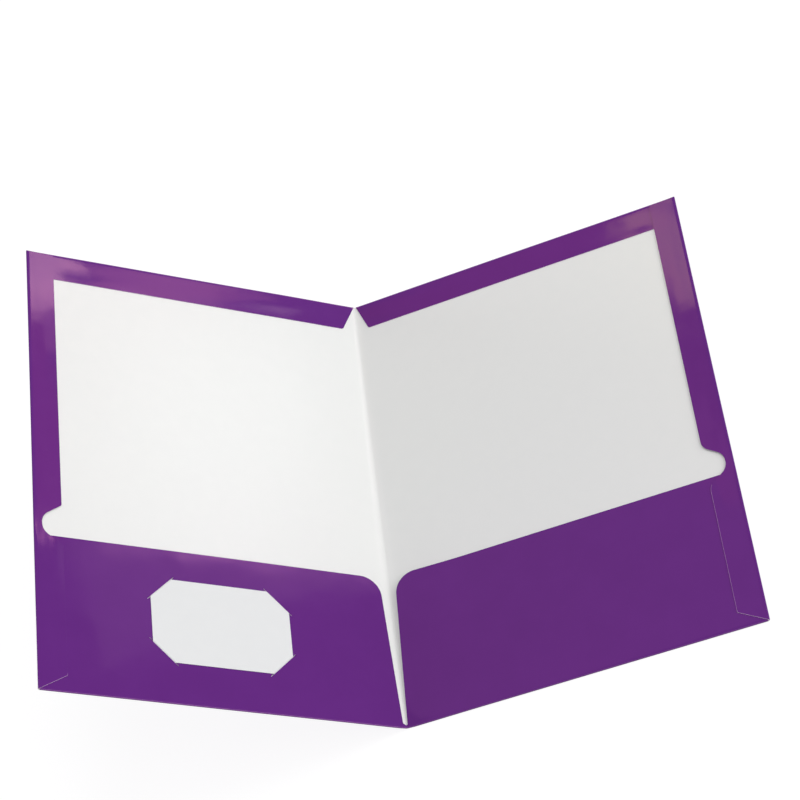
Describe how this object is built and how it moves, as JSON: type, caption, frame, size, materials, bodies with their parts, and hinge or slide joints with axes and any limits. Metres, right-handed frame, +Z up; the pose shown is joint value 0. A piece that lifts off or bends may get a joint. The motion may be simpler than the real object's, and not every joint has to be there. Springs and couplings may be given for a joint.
{
  "type": "two pocket folder",
  "caption": "Glossy board presentation folder, opened: hemmed covers hinged at a creased spine, foot pockets inside, thumb notches and a card held in slits.",
  "frame": {"origin": "centre of the back cover's outer face, on the table that the back cover lies on", "axes": "+Z up from the table, +X across the back cover from the spine to its fore-edge, +Y from foot to head"},
  "size_m": [0.3742, 0.31, 0.1597],
  "materials": {
    "board": "white uncoated folding board",
    "film": "purple gloss laminate",
    "laminated_board": "white board with purple gloss laminate outside",
    "glue": "dried glue film",
    "card": "plain white card"
  },
  "bodies": {
    "back_cover": {"back_cover": "board", "back_cover_film": "film", "back_top_hem": "laminated_board", "back_top_fold": "laminated_board", "back_top_glue": "glue", "back_side_hem": "laminated_board", "back_side_fold": "laminated_board", "back_corner_glue": "glue", "back_pocket": "board", "back_pocket_film": "film", "back_pocket_fold": "laminated_board", "back_pocket_glue": "glue", "spine_fold": "board", "spine_film": "film"},
    "front_cover": {"front_cover": "board", "front_cover_film": "film", "front_top_hem": "laminated_board", "front_top_fold": "laminated_board", "front_top_glue": "glue", "front_side_hem": "laminated_board", "front_side_fold": "laminated_board", "front_corner_glue": "glue", "front_pocket": "board", "front_pocket_film": "film", "front_pocket_fold": "laminated_board", "front_pocket_glue": "glue"},
    "business_card": {"business_card": "card"}
  },
  "joints": [
    {"name": "spine_hinge", "type": "hinge", "parent": "back_cover", "child": "front_cover", "pos_m": [-0.11, 0, 0.00236], "axis": [0, 1, 0], "range_deg": [-46, 134], "deforming": ["spine_fold", "spine_film"]},
    {"name": "card_removal", "type": "slide", "parent": "front_cover", "child": "business_card", "axis": [0.7193, 0, 0.6947], "range_m": [0, 0.06], "deforming": ["business_card"]}
  ]
}
